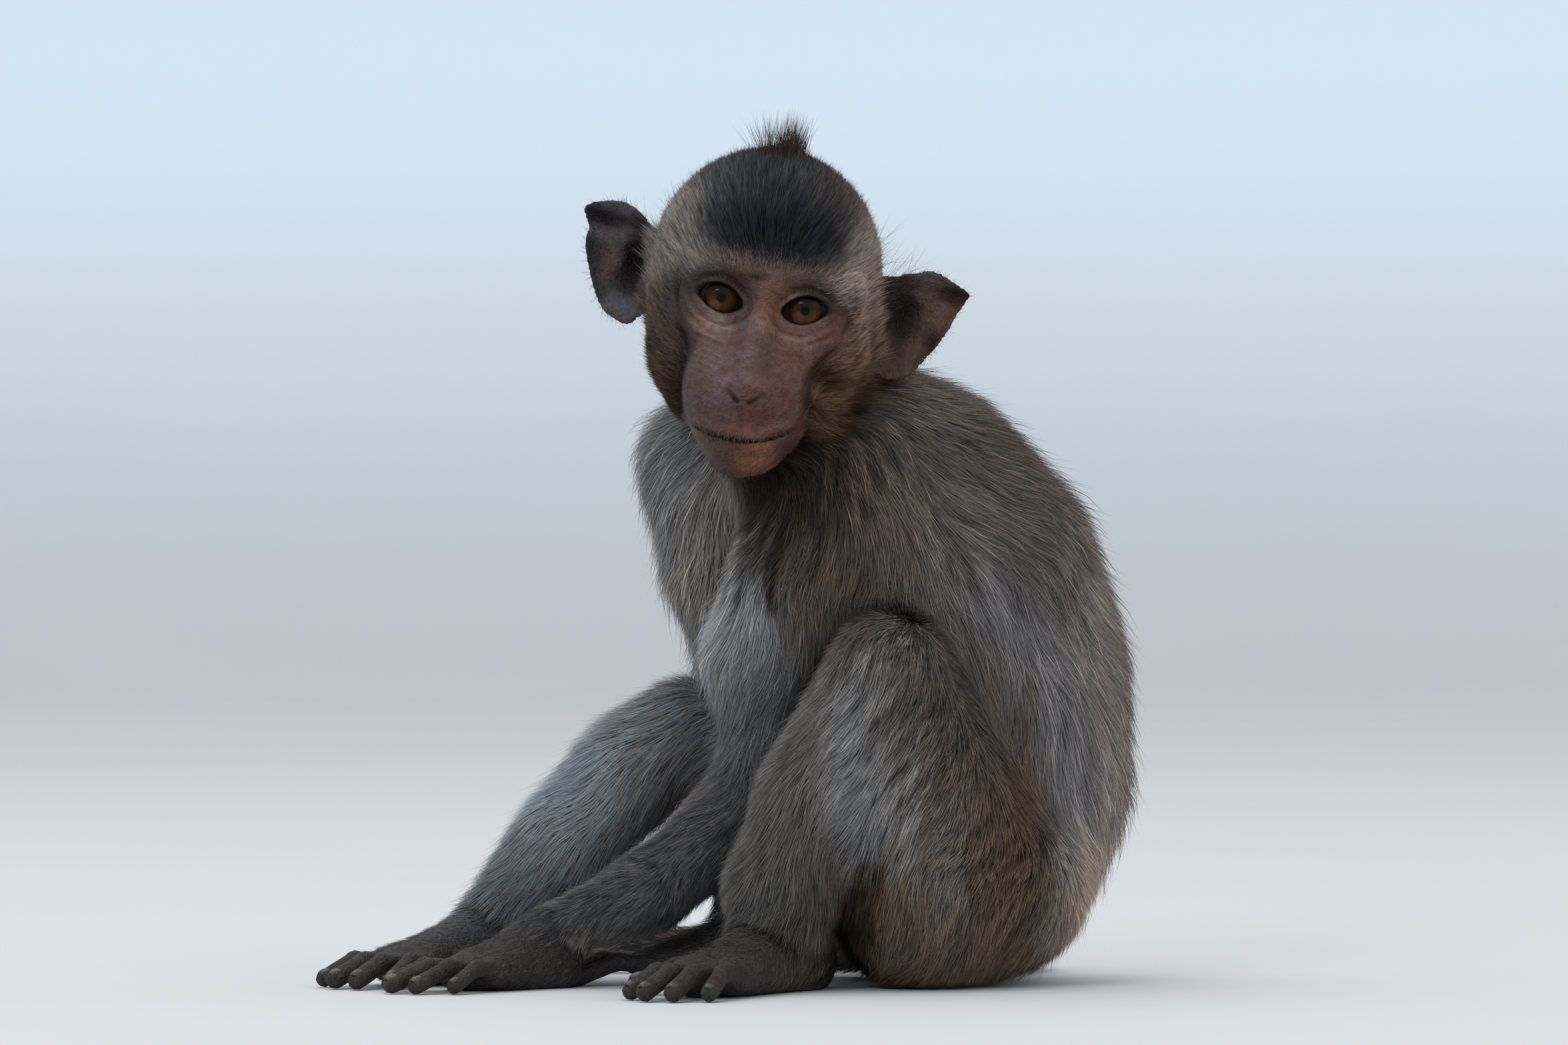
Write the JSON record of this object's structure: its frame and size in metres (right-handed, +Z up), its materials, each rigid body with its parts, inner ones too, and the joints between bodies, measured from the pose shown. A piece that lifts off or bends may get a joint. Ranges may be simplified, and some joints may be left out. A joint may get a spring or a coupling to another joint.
{
  "type": "long-tailed macaque, juvenile, seated",
  "caption": "Life-size still model of a young long-tailed macaque, seated on its haunches with both hands on the ground and its head turned to look over its shoulder.",
  "frame": {"origin": "on the ground, under the middle of the whole animal's box", "axes": "+Z up, +X towards the animal's back, -Y the way its face looks"},
  "size_m": [0.252, 0.2452, 0.2618],
  "materials": {
    "head_coat": "short dense fur, dark cap, grizzled sides, bare pinkish brown face",
    "body_coat": "grizzled grey brown fur, roughness 0.8",
    "pale_coat": "longer pale grey fur, roughness 0.8",
    "dark_coat": "short dark grey speckled fur and dark bare skin, roughness 0.8",
    "bare_skin": "thin dark bare skin with sparse hair, roughness 0.6",
    "eye": "wet amber eye"
  },
  "bodies": {
    "root": {"eye_left": "eye", "eye_right": "eye", "head": "head_coat", "neck": "body_coat", "trunk": "body_coat", "thigh_left": "body_coat", "thigh_right": "pale_coat", "upper_arm_left": "body_coat", "upper_arm_right": "pale_coat", "shin_left": "pale_coat", "shin_right": "pale_coat", "forearm_left": "dark_coat", "forearm_right": "dark_coat", "foot_left": "dark_coat", "foot_right": "dark_coat", "hand_left": "dark_coat", "hand_right": "dark_coat", "tail_base": "body_coat", "tail_middle": "body_coat", "tail_end": "body_coat", "tail_tip": "body_coat", "ear_left": "bare_skin", "ear_right": "bare_skin"}
  },
  "joints": []
}
